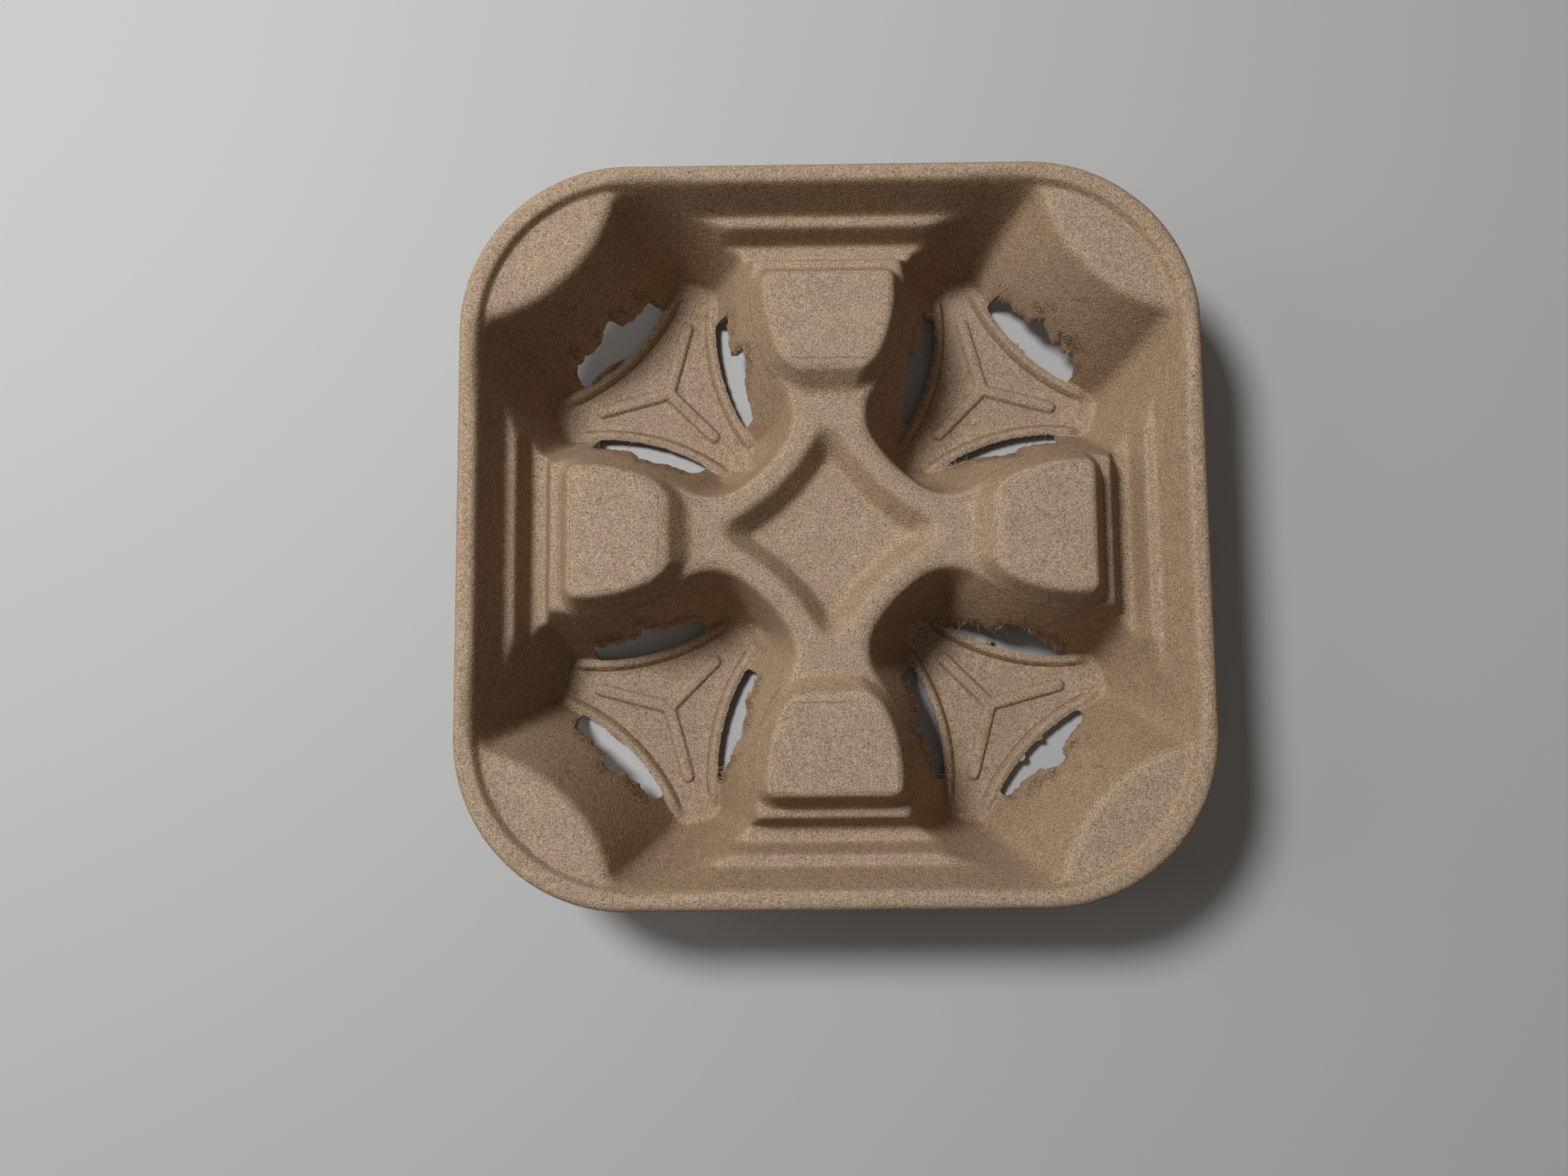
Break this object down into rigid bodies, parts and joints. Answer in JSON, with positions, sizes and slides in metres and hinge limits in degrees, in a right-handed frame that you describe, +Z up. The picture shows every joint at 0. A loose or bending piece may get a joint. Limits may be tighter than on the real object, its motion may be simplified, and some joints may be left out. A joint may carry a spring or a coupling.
{
  "type": "cup carrier",
  "caption": "Square moulded-pulp tray with tapering cup wells, slotted flanks, raised pads, stepped gutters and a turned-down rim, for carrying drinks.",
  "frame": {"origin": "bottom centre, on the plane of the well floors' undersides", "axes": "+Z up out of the wells; X and Y along the straight sides"},
  "size_m": [0.211, 0.211, 0.049],
  "materials": {
    "pulp": "rough uncoated moulded pulp with fibre flecks and a fine screen imprint"
  },
  "bodies": {
    "root": {"cup_carrier": "pulp"}
  },
  "joints": []
}
